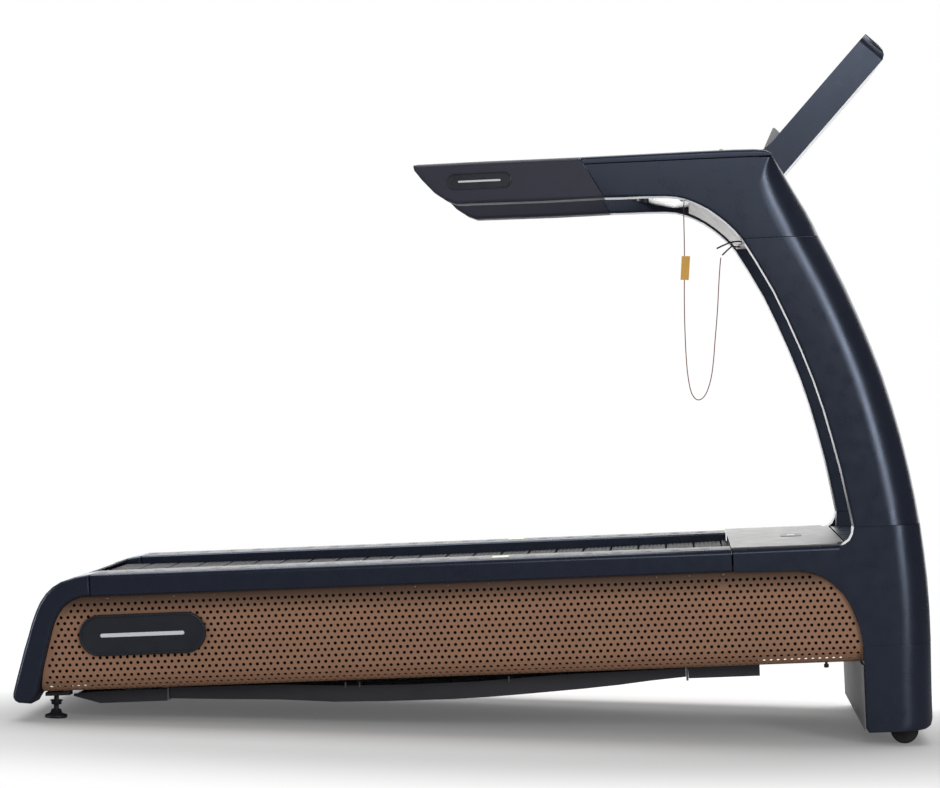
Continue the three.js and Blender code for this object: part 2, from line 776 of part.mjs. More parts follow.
function consoleScreen() {
  return faceSlab(roundedRect(35, 285, -250, 250, 9.5, 3), -3.1, -0.4);
}

function tabletShelf() {
  const onFace = (points) => points.map(([a, b]) => facePoint(a, b));
  const tray = sideSolid(onFace([[-28, 0.4], [-28, 13], [6, 23.5], [9.5, 21], [8.5, 0.4]]), -120, 120);
  const slot = sideSolid(onFace([[-24.8, 3], [-24.8, 11.2], [14, 22.6], [14, 3]]), -117, 117);
  return cut(tray, slot);
}

function statusLamp() {
  const g = turnedUp([[0, 0], [5.5, 0], [5.5, 2], [4.4, 4.4], [2.2, 5.8], [0, 6.2]], 0, 0, 16);
  g.translate(631.2, -400, 1315.6);
  return g;
}

function stopButton() {
  const g = turnedUp([[0, 0], [19, 0], [20, 2], [20, 9], [17, 13], [9, 15.5], [0, 16]], 0, 0, 28);
  g.translate(640, 0, 1309);
  return g;
}

function safetyKey() {
  const g = turnedUp([[0, 0], [7, 0], [10, 3], [10, 8], [7.5, 9], [7.5, 22], [0, 22]], 0, 0, 20);
  g.translate(542, -330, 1207.5);
  return g;
}

// ---- lanyard ------------------------------------------------------------------------------
const LANYARD_Y = -330;
const LANYARD_ROUTE = [
  [541.8, 1206.6], [540, 1186], [538.4, 1115], [537.2, 1078], [536, 1052], [534.4, 1016],
  [533.2, 990], [531.8, 944], [531.2, 901], [531.4, 855], [533.2, 808], [538.3, 769], [546, 751],
  [555.2, 744.6], [566, 748.6], [577, 764], [587.5, 795], [594.5, 834], [600, 880], [605, 919.5],
  [609.8, 962], [614.2, 1011], [618.6, 1052], [621.6, 1073],
];

function lanyardCord() {
  const curve = new THREE.CatmullRomCurve3(
    LANYARD_ROUTE.map(([u, w], i) => {
      const sway = 3 * Math.sin((Math.PI * i) / (LANYARD_ROUTE.length - 1));
      return new THREE.Vector3(u, LANYARD_Y + sway, w);
    }),
  );
  const ring = new THREE.Shape(
    arc(0, 0, 1.15, 0, 315, 7).map(([x, y]) => new THREE.Vector2(x, y)),
  );
  const g = new THREE.ExtrudeGeometry(ring, { steps: 44, bevelEnabled: false, extrudePath: curve });
  return welded(g);
}

function lanyardTag() {
  return sideSolid([[530.9, 1080.5], [550.4, 1079.5], [545, 1024], [525.8, 1025.5]].reverse(), -333.4, -332.4);
}

const CLIP_PIVOT = [645, 1098];

function clipHalf(points, y0, y1) {
  return sideSolid(points, y0, y1);
}

function clipLever() {
  return clipHalf([
    [612.3, 1095.6], [613.2, 1092.8], [642, 1105.6], [655, 1107.2], [671.5, 1107.6], [671.3, 1105.5],
    [672.6, 1105.4], [672.8, 1109.6], [654, 1109.6], [641, 1108.4],
  ].reverse(), -335, -325);
}

function clipBase() {
  return clipHalf([
    [624.4, 1079.4], [626.4, 1077.2], [648, 1097.4], [656, 1095.6], [668.5, 1095], [668.6, 1096.4],
    [656, 1097.6], [647, 1099.2],
  ], -335, -325);
}

// ---- floor contacts -----------------------------------------------------------------------
function rearFoot(side) {
  const g = turnedUp([
    [0, 0], [24, 0], [26.5, 2.5], [26.5, 7.5], [14, 12], [11.5, 20], [6, 22], [6, 31], [12, 31.5],
    [12, 39], [14.5, 39.5], [14.5, 42], [6, 42.5], [6, 92], [0, 92],
  ], FOOT_X, side * FOOT_Y, 20);
  return g;
}

function transportWheel(side) {
  const g = turned([
    [0, -17], [6, -17], [6, -13], [27, -12], [30.5, -11], [WHEEL_R, -8], [WHEEL_R, 8], [30.5, 11],
    [27, 12], [6, 13], [6, 17], [0, 17],
  ], WHEEL_X, WHEEL_R, 24);
  g.translate(0, side * 390, 0);
  return g;
}

// ---- assembly -----------------------------------------------------------------------------
deckPiece('main_frame', mainFrame(), DARK_STEEL);
deckPiece('rear_drum', turned(drumProfile(false), REAR_DRUM_U, DRUM_W), DARK_STEEL);
deckPiece('front_drum', turned(drumProfile(true), FRONT_DRUM_U, DRUM_W), DARK_STEEL);
deckPiece('slat_belt', slatBelt(), SLAT);
deckPair('bearing_rail', bearingRail(), STEEL);
deckPiece('generator_rotor', generatorRotor(), STEEL);
deckPiece('generator_housing', generatorHousing(), DARK_STEEL);
deckPiece('drive_belt', driveBelt(), BLACK);
deckPair('rail', rail(), NAVY);
deckPair('rail_tread', railTread(), GREY);
deckPair('rail_marker', railMarker(), LIME);
deckPair('side_panel', sidePanel(), COPPER);
deckPair('side_badge', sideBadge(), BLACK);
deckPair('rear_end_cap', endCap(), NAVY);
deckPiece('rear_cross_cover', rearCrossCover(), NAVY);
deckPiece('belly_pan_rear', bellyRear(), BLACK);
deckPiece('belly_pan_middle', bellyMiddle(), BLACK);
deckPiece('belly_pan_front', bellyFront(), BLACK);
deckPiece('front_deck_cover', deckCover(), GREY);
deckPair('base_housing', baseHousing(), NAVY);
deckPair('leg_shroud', legShroud(), NAVY);
deckPiece('front_cross_cover', frontCrossCover(), NAVY);
deckPiece('front_rear_plate', frontRearPlate(), GREY);
deckPair('mast', mast(), NAVY);
deckPair('elbow', elbow(), NAVY);
deckPair('arm_top_cap', armTopCap(), NAVY);
deckPair('hand_grip', handGrip(), SLEEVE);
deckPair('arm_badge', armBadge(), BLACK);
deckPiece('console_bridge', consoleBridge(), GREY);
deckPiece('tray_under_cover', trayUnderCover(), BLACK);
deckPiece('console_shell', consoleShell(), NAVY);
deckPiece('console_screen', consoleScreen(), GLASS);
deckPiece('tablet_shelf', tabletShelf(), GREY);
deckPiece('status_lamp', statusLamp(), LIME);
deckPiece('stop_button', stopButton(), RED);
deckPiece('safety_key', safetyKey(), RED);
deckPiece('lanyard_cord', lanyardCord(), CORD);
deckPiece('lanyard_tag', lanyardTag(), AMBER);
deckPiece('clip_lever', clipLever(), BLACK);
deckPiece('clip_base', clipBase(), BLACK);
place('left_rear_foot', rearFoot(1), BLACK);
place('right_rear_foot', rearFoot(-1), BLACK);
place('left_transport_wheel', transportWheel(1), BLACK);
place('right_transport_wheel', transportWheel(-1), BLACK);

export default treadmill;
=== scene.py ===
import math

import bmesh
import bpy
from mathutils import Matrix, Vector
from mathutils.geometry import delaunay_2d_cdt


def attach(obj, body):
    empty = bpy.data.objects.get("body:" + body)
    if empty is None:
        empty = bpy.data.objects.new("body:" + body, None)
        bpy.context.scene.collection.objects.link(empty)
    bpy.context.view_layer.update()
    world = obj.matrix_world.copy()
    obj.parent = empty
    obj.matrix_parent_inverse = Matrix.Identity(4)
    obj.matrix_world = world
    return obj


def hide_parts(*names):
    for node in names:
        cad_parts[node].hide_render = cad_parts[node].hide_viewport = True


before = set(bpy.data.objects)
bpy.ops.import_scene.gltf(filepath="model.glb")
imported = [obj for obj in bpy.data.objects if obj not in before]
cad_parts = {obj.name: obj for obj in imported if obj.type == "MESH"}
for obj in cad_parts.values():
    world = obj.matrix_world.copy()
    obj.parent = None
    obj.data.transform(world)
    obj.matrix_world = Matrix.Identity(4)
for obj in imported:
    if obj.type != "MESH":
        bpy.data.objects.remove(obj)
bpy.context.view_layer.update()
scene = bpy.context.scene

# ---- the deck frame: millimetres along (u), across (y) and square to (w) the pitched deck ----
TILT = math.radians(3.7)
SHIFT_X = 2.15
COS, SIN = math.cos(TILT), math.sin(TILT)
OUTER_Y = 460.0
PANEL_Y = 448.0
PANEL_CURL = 45.0
PANEL_FOOT = 129.5
PANEL_KNEE = PANEL_FOOT + PANEL_CURL


def deck(u, y, w):
    return Vector(((u * COS - w * SIN + SHIFT_X) / 1000, y / 1000, (u * SIN + w * COS) / 1000))


# ---- camera: a long lens 8 m out on the right side, almost level ----------------------------
CAMERA_LENS = 130.21
CAMERA_PLACE = (0.4408, -8.26, 0.8586)
CAMERA_RIGHT = (0.998031, 0.058720, 0.022121)
CAMERA_UP = (-0.022659, 0.008514, 0.999707)
CAMERA_BACK = (0.058515, -0.998240, 0.009828)


def make_camera():
    data = bpy.data.cameras.new("camera")
    data.sensor_fit = "HORIZONTAL"
    data.sensor_width = 36.0
    data.lens = CAMERA_LENS
    data.clip_end = 200.0
    cam = bpy.data.objects.new("camera", data)
    columns = (CAMERA_RIGHT, CAMERA_UP, CAMERA_BACK, CAMERA_PLACE)
    cam.matrix_world = Matrix([[c[i] for c in columns] for i in range(3)] + [[0, 0, 0, 1]])
    scene.collection.objects.link(cam)
    scene.camera = cam


make_camera()


# ---- mesh helpers ------------------------------------------------------------------------
def new_object(name, verts, faces, body, mat, smooth=None):
    mesh = bpy.data.meshes.new(name)
    mesh.from_pydata([tuple(v) for v in verts], [], faces)
    mesh.validate()
    mesh.update()
    obj = bpy.data.objects.new(name, mesh)
    scene.collection.objects.link(obj)
    bm = bmesh.new()
    bm.from_mesh(mesh)
    bmesh.ops.remove_doubles(bm, verts=bm.verts, dist=1e-6)
    bmesh.ops.recalc_face_normals(bm, faces=bm.faces)
    bm.to_mesh(mesh)
    bm.free()
    mesh.materials.append(mat)
    if smooth is not None:
        shade(obj, smooth)
    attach(obj, body)
    return obj


def shade(obj, degrees):
    for polygon in obj.data.polygons:
        polygon.use_smooth = True
    split = obj.modifiers.new("edges", "EDGE_SPLIT")
    split.split_angle = math.radians(degrees)


def soften_edges(obj, width_mm, angle):
    """Two-step bevel on every edge sharper than an angle in degrees."""
    b = obj.modifiers.new("bevel", "BEVEL")
    b.width = width_mm / 1000
    b.segments = 2
    b.limit_method = "ANGLE"
    b.angle_limit = math.radians(angle)


def sweep(verts):
    """Closed solid between two equal rings, given one after the other, as (verts, faces)."""
    n = len(verts) // 2
    faces = [list(range(n)), list(range(2 * n - 1, n - 1, -1))]
    faces += [[i, i + n, (i + 1) % n + n, (i + 1) % n] for i in range(n)]
    return verts, faces


def prism(outline, y0, y1):
    """Closed solid from a (u, w) outline swept across the deck from y0 to y1."""
    return sweep([deck(u, y, w) for y in (y0, y1) for u, w in outline])


def deck_block(outline, w0, w1):
    """Closed slab from a (u, y) outline between two deck heights."""
    return sweep([deck(u, y, w) for w in (w0, w1) for u, y in outline])


def skin_loops(loops):
    """Quads between each pair of neighbouring rings in a run of equal rings."""
    n = len(loops[0])
    return [[i * n + j, i * n + (j + 1) % n, (i + 1) * n + (j + 1) % n, (i + 1) * n + j]
            for i in range(len(loops) - 1) for j in range(n)]


def merge(parts):
    verts, faces = [], []
    for v, f in parts:
        base = len(verts)
        verts += list(v)
        faces += [[i + base for i in face] for face in f]
    return verts, faces


def revolve(profile, place, segments=24):
    """Skin of (radius, height) points turned about the local z axis, placed by a function."""
    verts, faces, rings = [], [], []
    for r, h in profile:
        ring = []
        if r < 1e-6:
            ring = [len(verts)] * segments
            verts.append(place(0.0, 0.0, h))
        else:
            for i in range(segments):
                a = 2 * math.pi * i / segments
                ring.append(len(verts))
                verts.append(place(r * math.cos(a), r * math.sin(a), h))
        rings.append(ring)
    for a, b in zip(rings, rings[1:]):
        for i in range(segments):
            j = (i + 1) % segments
            face = []
            for k in (a[i], a[j], b[j], b[i]):
                if k not in face:
                    face.append(k)
            if len(face) > 2:
                faces.append(face)
    return verts, faces


def arc(cx, cy, r, a0, a1, steps):
    out = []
    for i in range(steps + 1):
        a = math.radians(a0 + (a1 - a0) * i / steps)
        out.append((cx + r * math.cos(a), cy + r * math.sin(a)))
    return out


def pill(cu, cw, length, height, steps=14):
    r = height / 2
    reach = length / 2 - r
    return arc(cu + reach, cw, r, -90, 90, steps) + arc(cu - reach, cw, r, 90, 270, steps)


# ---- materials ---------------------------------------------------------------------------
def shader(name, base, rough, metallic=0.0, specular=0.5, spec_tint=(1, 1, 1), coat=0.0,
           coat_rough=0.2, sheen=0.0, tint=0.08, tint_scale=5.0, rough_var=0.06, grain=900.0, bump=0.05,
           depth=0.0002):
    """A moulded, coated or cast finish: slow tint drift, uneven gloss and a fine surface grain."""
    m = bpy.data.materials.new(name)
    m.use_nodes = True
    nt = m.node_tree
    nodes, links = nt.nodes, nt.links
    p = nodes["Principled BSDF"]
    p.inputs["Metallic"].default_value = metallic
    p.inputs["Specular IOR Level"].default_value = specular
    p.inputs["Specular Tint"].default_value = (*spec_tint, 1)
    p.inputs["Coat Weight"].default_value = coat
    p.inputs["Coat Roughness"].default_value = coat_rough
    p.inputs["Sheen Weight"].default_value = sheen
    where = nodes.new("ShaderNodeTexCoord")
    drift = nodes.new("ShaderNodeTexNoise")
    drift.inputs["Scale"].default_value = tint_scale
    drift.inputs["Detail"].default_value = 6.0
    ramp = nodes.new("ShaderNodeValToRGB")
    ramp.color_ramp.elements[0].position = 0.3
    ramp.color_ramp.elements[1].position = 0.7
    ramp.color_ramp.elements[0].color = [c * (1 - tint) for c in base] + [1]
    ramp.color_ramp.elements[1].color = [min(1.0, c * (1 + tint)) for c in base] + [1]
    gloss = nodes.new("ShaderNodeTexNoise")
    gloss.inputs["Scale"].default_value = 28.0
    gloss.inputs["Detail"].default_value = 5.0
    span = nodes.new("ShaderNodeMapRange")
    span.inputs["From Min"].default_value = 0.3
    span.inputs["From Max"].default_value = 0.7
    span.inputs["To Min"].default_value = rough - rough_var
    span.inputs["To Max"].default_value = rough + rough_var
    fine = nodes.new("ShaderNodeTexNoise")
    fine.inputs["Scale"].default_value = grain
    fine.inputs["Detail"].default_value = 2.0
    relief = nodes.new("ShaderNodeBump")
    relief.inputs["Strength"].default_value = bump
    relief.inputs["Distance"].default_value = depth
    for tex in (drift, gloss, fine):
        links.new(where.outputs["Object"], tex.inputs["Vector"])
    links.new(drift.outputs["Fac"], ramp.inputs["Fac"])
    links.new(ramp.outputs["Color"], p.inputs["Base Color"])
    links.new(gloss.outputs["Fac"], span.inputs["Value"])
    links.new(span.outputs["Result"], p.inputs["Roughness"])
    links.new(fine.outputs["Fac"], relief.inputs["Height"])
    links.new(relief.outputs["Normal"], p.inputs["Normal"])
    return m


def add_pattern(m, kind, scale, strength, distance, axis="X"):
    """Brushing along an axis, or a relief of small cells, laid over a shader's grain."""
    nt = m.node_tree
    nodes, links = nt.nodes, nt.links
    where = next(n for n in nodes if n.type == "TEX_COORD")
    old = next(n for n in nodes if n.type == "BUMP")
    p = nodes["Principled BSDF"]
    if kind == "brushed":
        stretch = nodes.new("ShaderNodeMapping")
        factors = {"X": (1, 60, 60), "Y": (60, 1, 60), "Z": (60, 60, 1)}[axis]
        stretch.inputs["Scale"].default_value = factors
        tex = nodes.new("ShaderNodeTexNoise")
        tex.inputs["Scale"].default_value = scale
        links.new(where.outputs["Object"], stretch.inputs["Vector"])
        links.new(stretch.outputs["Vector"], tex.inputs["Vector"])
    else:
        tex = nodes.new("ShaderNodeTexVoronoi")
        tex.inputs["Scale"].default_value = scale
        links.new(where.outputs["Object"], tex.inputs["Vector"])
    relief = nodes.new("ShaderNodeBump")
    relief.inputs["Strength"].default_value = strength
    relief.inputs["Distance"].default_value = distance
    links.new(tex.outputs["Fac" if kind == "brushed" else "Distance"], relief.inputs["Height"])
    links.new(old.outputs["Normal"], relief.inputs["Normal"])
    links.new(relief.outputs["Normal"], p.inputs["Normal"])
    return m


NAVY = (0.012, 0.0145, 0.025)
NAVY_GLINT = (0.66, 0.77, 1.0)

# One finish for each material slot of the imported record.
MAT = {
    "navy_plastic": shader("navy_plastic", NAVY, 0.29, specular=0.85, spec_tint=NAVY_GLINT, tint=0.06,
                           rough_var=0.03),
    "navy_coat": shader("navy_coat", NAVY, 0.28, specular=0.85, spec_tint=NAVY_GLINT, tint=0.06,
                        grain=1400, rough_var=0.03),
    "copper_panel": shader("copper_panel", (0.30, 0.160, 0.098), 0.50, metallic=0.10, tint=0.06,
                           grain=1600, bump=0.08, specular=0.35),
    "badge_plastic": shader("badge_plastic", (0.018, 0.020, 0.027), 0.30, tint=0.05, bump=0.03),
    "grip_rubber": shader("grip_rubber", (0.028, 0.029, 0.045), 0.50, tint=0.05, grain=1800, bump=0.15,
                          specular=0.45, spec_tint=(0.90, 0.90, 1.0)),
    "grey_tread": shader("grey_tread", (0.17, 0.17, 0.175), 0.50, tint=0.08, grain=1500, bump=0.35,
                         depth=0.0004),
    "lime_plastic": shader("lime_plastic", (0.40, 0.60, 0.13), 0.35, tint=0.05, coat=0.3),
    "frame_steel": shader("frame_steel", (0.035, 0.036, 0.042), 0.5, tint=0.10, grain=700, bump=0.12),
    "slat_rubber": shader("slat_rubber", (0.022, 0.022, 0.026), 0.62, tint=0.12, grain=1300, bump=0.4,
                          depth=0.0004, specular=0.35),
    "cast_housing": shader("cast_housing", (0.28, 0.29, 0.30), 0.5, metallic=0.9, tint=0.1, grain=500,
                           bump=0.3, depth=0.0005),
    "belt_rubber": shader("belt_rubber", (0.016, 0.016, 0.018), 0.75, tint=0.1, bump=0.2),
    "pan_black": shader("pan_black", (0.034, 0.034, 0.042), 0.42, tint=0.10, grain=500, bump=0.12),
    "deck_cover": shader("deck_cover", (0.21, 0.21, 0.205), 0.42, tint=0.05, grain=1500, bump=0.05),
    "rear_plate": shader("rear_plate", (0.36, 0.35, 0.345), 0.38, metallic=0.5, tint=0.05, bump=0.06),
    # bridge_cover: its light grey is painted reflection of grazing light on the navy cover's rear and lower
    # faces
    "bridge_cover": shader("bridge_cover", (0.52, 0.50, 0.485), 0.42, tint=0.05, bump=0.05),
    "gloss_black": shader("gloss_black", (0.010, 0.010, 0.013), 0.22, coat=0.4, coat_rough=0.15,
                          tint=0.05, bump=0.02),
    "screen_glass": shader("screen_glass", (0.008, 0.009, 0.012), 0.06, coat=0.8, coat_rough=0.03,
                           tint=0.2, bump=0.01, rough_var=0.02),
    "shelf_plastic": shader("shelf_plastic", (0.62, 0.62, 0.63), 0.45, tint=0.04),
    "red_plastic": shader("red_plastic", (0.50, 0.025, 0.02), 0.3, coat=0.4, tint=0.05),
    "cord_fabric": shader("cord_fabric", (0.20, 0.060, 0.045), 0.8, tint=0.35, tint_scale=700,
                          grain=2500, bump=0.6, depth=0.0003, specular=0.2, sheen=0.2),
    "tag_amber": shader("tag_amber", (0.66, 0.36, 0.06), 0.5, tint=0.05, bump=0.1),
    "clip_black": shader("clip_black", (0.014, 0.014, 0.016), 0.4, tint=0.1, bump=0.1),
    "drum_steel": shader("drum_steel", (0.36, 0.37, 0.39), 0.35, metallic=1.0, tint=0.06),
    "rotor_steel": shader("rotor_steel", (0.45, 0.46, 0.48), 0.3, metallic=1.0, tint=0.06),
    "bearing_steel": shader("bearing_steel", (0.48, 0.49, 0.51), 0.32, metallic=1.0, tint=0.06),
    "wheel_rubber": shader("wheel_rubber", (0.014, 0.014, 0.016), 0.55, tint=0.15, grain=600, bump=0.4,
                           depth=0.0006),
    "foot_black": shader("foot_black", (0.016, 0.016, 0.020), 0.45, tint=0.15, grain=700, bump=0.25),
}
for steel in ("drum_steel", "rotor_steel", "bearing_steel", "rear_plate"):
    add_pattern(MAT[steel], "brushed", 40.0, 0.08, 0.0002, "Y")
add_pattern(MAT["deck_cover"], "brushed", 30.0, 0.05, 0.0002, "Y")
add_pattern(MAT["grey_tread"], "cells", 420.0, 0.35, 0.0005)
add_pattern(MAT["slat_rubber"], "cells", 300.0, 0.5, 0.0006)
add_pattern(MAT["wheel_rubber"], "cells", 260.0, 0.6, 0.0010)


def paint_reflection_below(m, upper):
    """Faces that look up take a second colour; the other faces keep the light base colour as painted
    reflection of grazing light.
    """
    nt = m.node_tree
    nodes, links = nt.nodes, nt.links
    p = nodes["Principled BSDF"]
    ramp = next(n for n in nodes if n.type == "VALTORGB")
    where = next(n for n in nodes if n.type == "TEX_COORD")
    split = nodes.new("ShaderNodeSeparateXYZ")
    edge = nodes.new("ShaderNodeMapRange")
    edge.inputs["From Min"].default_value = 0.45
    edge.inputs["From Max"].default_value = 0.55
    mix = nodes.new("ShaderNodeMix")
    mix.data_type = "RGBA"
    mix.inputs["B"].default_value = (*upper, 1)
    links.new(where.outputs["Normal"], split.inputs["Vector"])
    links.new(split.outputs["Z"], edge.inputs["Value"])
    links.new(edge.outputs["Result"], mix.inputs["Factor"])
    links.new(ramp.outputs["Color"], mix.inputs["A"])
    links.new(mix.outputs["Result"], p.inputs["Base Color"])


# painted reflection: light grey stays on the bridge cover's rear and lower faces; faces that look up turn
# navy
paint_reflection_below(MAT["bridge_cover"], NAVY)


def paint_shade_under_rail(m, top, bottom, low):
    """Darkens a finish from one height to another: painted shade under the rail's overhang."""
    nt = m.node_tree
    nodes, links = nt.nodes, nt.links
    p = nodes["Principled BSDF"]
    ramp = next(n for n in nodes if n.type == "VALTORGB")
    where = next(n for n in nodes if n.type == "TEX_COORD")
    tilt = nodes.new("ShaderNodeVectorMath")
    tilt.operation = "DOT_PRODUCT"
    tilt.inputs[1].default_value = (-SIN, 0, COS)
    span = nodes.new("ShaderNodeMapRange")
    span.interpolation_type = "SMOOTHSTEP"
    span.inputs["From Min"].default_value = bottom
    span.inputs["From Max"].default_value = top
    span.inputs["To Min"].default_value = 1.0
    span.inputs["To Max"].default_value = low
    mix = nodes.new("ShaderNodeMix")
    mix.data_type = "RGBA"
    mix.blend_type = "MULTIPLY"
    mix.inputs["Factor"].default_value = 1.0
    links.new(where.outputs["Object"], tilt.inputs[0])
    links.new(tilt.outputs["Value"], span.inputs["Value"])
    links.new(ramp.outputs["Color"], mix.inputs["A"])
    links.new(span.outputs["Result"], mix.inputs["B"])
    links.new(mix.outputs["Result"], p.inputs["Base Color"])


# painted shade: the copper panel darkens towards its top edge, under the rail
paint_shade_under_rail(MAT["copper_panel"], 0.352, 0.285, 0.22)
WHITE_MARK = shader("mark_light", (0.62, 0.63, 0.66), 0.4, tint=0.03, bump=0.02)
# painted shade: near-black sheet behind the panel holes, for the dark inside of the machine
SHADE_SHEET = shader("panel_backing", (0.012, 0.012, 0.014), 0.8, tint=0.1, specular=0.1)
ZINC = shader("zinc_screw", (0.20, 0.16, 0.13), 0.4, metallic=0.8, tint=0.15, bump=0.2)
FLANGE = shader("flange_grey", (0.14, 0.14, 0.15), 0.45, metallic=0.3, tint=0.08)
SPRING = shader("spring_steel", (0.55, 0.56, 0.58), 0.3, metallic=1.0, tint=0.05)


# ---- lanyard: the cord comes first, with the clip it ends in -------------------------------
LANYARD_Y = -330
LANYARD_R = 0.00115
LANYARD_SWAY = 3
CLIP_HALF = 5.4
CLIP_STRIP = 3.4
CLIP_PIN = (647.5, 1102.6)
RIB_HALF = 4.6
COIL_R = 0.0027
COIL_WIRE_R = 0.00045
COIL_LONG = 0.0076
COIL_TURNS = 6
STEPS_A_TURN = 16
LANYARD_ROUTE = [
    (541.8, 1206.6), (540, 1186), (538.4, 1115), (537.2, 1078), (536, 1052), (534.4, 1016),
    (533.2, 990), (531.8, 944), (531.2, 901), (531.4, 855), (533.2, 808), (538.3, 769), (546, 751),
    (555.2, 744.6), (566, 748.6), (577, 764), (587.5, 795), (594.5, 834), (600, 880), (605, 919.5),
    (609.8, 962), (614.2, 1011), (618.6, 1052), (621.6, 1073),
]


def smooth_line(points, steps):
    """Points along a Catmull-Rom line through the given ones."""
    out = []
    n = len(points)
    for i in range(n - 1):
        p0 = points[i - 1] if i else points[0] * 2 - points[1]
        p1, p2 = points[i], points[i + 1]
        p3 = points[i + 2] if i + 2 < n else points[-1] * 2 - points[-2]
        for k in range(steps):
            t = k / steps
            out.append(0.5 * ((2 * p1) + (p2 - p0) * t + (2 * p0 - 5 * p1 + 4 * p2 - p3) * t * t
                              + (3 * p1 - p0 - 3 * p2 + p3) * t ** 3))
    out.append(points[-1].copy())
    return out


def line_object(name, points, radius, body, mat, resolution=3):
    data = bpy.data.curves.new(name, "CURVE")
    data.dimensions = "3D"
    data.bevel_depth = radius
    data.bevel_resolution = resolution
    data.use_fill_caps = True
    spline = data.splines.new("POLY")
    spline.points.add(len(points) - 1)
    for point, p in zip(spline.points, points):
        point.co = (p.x, p.y, p.z, 1)
    spline.use_smooth = True
    data.materials.append(mat)
    obj = bpy.data.objects.new(name, data)
    scene.collection.objects.link(obj)
    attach(obj, body)
    return obj


def bar(centre, thick, y0, y1):
    """Bent strip of even thickness along a (u, w) line."""
    left, right = [], []
    for i, (u, w) in enumerate(centre):
        a, b = centre[max(0, i - 1)], centre[min(len(centre) - 1, i + 1)]
        run = math.hypot(b[0] - a[0], b[1] - a[1])
        nu, nw = -(b[1] - a[1]) / run * thick / 2, (b[0] - a[0]) / run * thick / 2
        left.append((u + nu, w + nw))
        right.append((u - nu, w - nw))
    return prism(left + right[::-1], y0, y1)


def clip():
    """Spring clip: two pressed levers on a pin, a coil round the pin, grip ribs on the thumb pads."""
    upper = [(612.5, 1094.2), (627, 1100.6), (642, 1106.3), (655, 1108.6), (664, 1108.9), (672.3, 1107.6)]
    lower = [(625, 1078.6), (636, 1088.4), (647.5, 1098.0), (656, 1096.6), (668.4, 1096.0)]
    for name, line, body, node in (("clip_thumb_lever", upper, "clip_lever_body", "clip_lever"),
                                   ("clip_fixed_lever", lower, "machine", "clip_base")):
        parts = [bar(line, CLIP_STRIP, LANYARD_Y - CLIP_HALF, LANYARD_Y + CLIP_HALF)]
        (u0, w0), (u1, w1) = line[0], line[1]
        for k in range(4):
            t = 0.12 + 0.2 * k
            u, w = u0 + (u1 - u0) * t, w0 + (w1 - w0) * t
            lift = 1.9 if node == "clip_lever" else -1.9
            rib = [(u - 0.8, w + lift - 0.5), (u + 0.8, w + lift - 0.5), (u + 0.6, w + lift + 0.5),
                   (u - 0.6, w + lift + 0.5)]
            parts.append(prism(rib, LANYARD_Y - RIB_HALF, LANYARD_Y + RIB_HALF))
        v, f = merge(parts)
        piece = new_object(name, v, f, body, MAT["clip_black"])
        for polygon in piece.data.polygons:
            polygon.use_smooth = True
        soften_edges(piece, 0.5, 40)
        piece.modifiers.new("normals", "WEIGHTED_NORMAL")
        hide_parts(node)
    pin = deck(CLIP_PIN[0], LANYARD_Y, CLIP_PIN[1])
    coil = []
    last = COIL_TURNS * STEPS_A_TURN
    for i in range(last + 1):
        a = 2 * math.pi * i / STEPS_A_TURN
        coil.append(pin + Vector((COIL_R * math.cos(a), (i / last - 0.5) * COIL_LONG, COIL_R * math.sin(a))))
    line_object("clip_spring", coil, COIL_WIRE_R, "machine", SPRING, 2)


def make_lanyard():
    """The cord, with the pieces on it. The thumb lever reaches too far from it to be one of them."""
    clip()
    last = len(LANYARD_ROUTE) - 1
    knots = [deck(u, LANYARD_Y + LANYARD_SWAY * math.sin(math.pi * i / last), w)
             for i, (u, w) in enumerate(LANYARD_ROUTE)]
    route = smooth_line(knots, 5)
    length = sum((b - a).length for a, b in zip(route, route[1:]))
    cord = line_object("lanyard", route, LANYARD_R, "machine", MAT["cord_fabric"])
    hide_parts("lanyard_cord")
    on_cord = [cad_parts["lanyard_tag"]]
    on_cord += [bpy.data.objects[name] for name in ("clip_fixed_lever", "clip_spring")]
    tuple(route[0])


make_lanyard()


# ---- carried-over CAD nodes: finish, softened edges ----------------------------------------
# Bevel width in mm and least angle in degrees, for the nodes that stay visible.
BEVELS = {
    "rail": (1.0, 30), "rear_end_cap": (1.0, 35), "base_housing": (1.2, 35), "leg_shroud": (1.2, 35),
    "mast": (1.2, 40), "elbow": (1.0, 45), "arm_top_cap": (0.8, 50), "hand_grip": (1.5, 50),
    "rail_marker": (0.5, 30),
    "console_shell": (1.2, 50), "console_bridge": (2.0, 40), "tray_under_cover": (5.0, 40),
    "tablet_shelf": (0.8, 30), "front_cross_cover": (0.8, 40), "rear_cross_cover": (0.6, 40),
    "front_deck_cover": (1.0, 30), "belly_pan_rear": (0.6, 30), "belly_pan_middle": (0.6, 30),
    "belly_pan_front": (0.6, 30), "main_frame": (1.0, 30), "front_rear_plate": (0.6, 30),
    "generator_housing": (1.0, 30), "console_screen": (0.5, 30), "status_lamp": (0.3, 50),
    "stop_button": (0.5, 40), "safety_key": (0.4, 40), "lanyard_tag": (0.2, 30),
}


def finish_nodes():
    """Gives each CAD node its slot's finish, joins its loose triangles and softens its edges."""
    for name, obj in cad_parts.items():
        slot = obj.data.materials[0].name.split(".")[0]
        obj.material_slots[0].material = MAT[slot]
        weld = obj.modifiers.new("weld", "WELD")
        weld.merge_threshold = 1e-5
        short = name.replace("left_", "").replace("right_", "")
        if short in BEVELS:
            soften_edges(obj, *BEVELS[short])
        obj.modifiers.new("normals", "WEIGHTED_NORMAL")


finish_nodes()


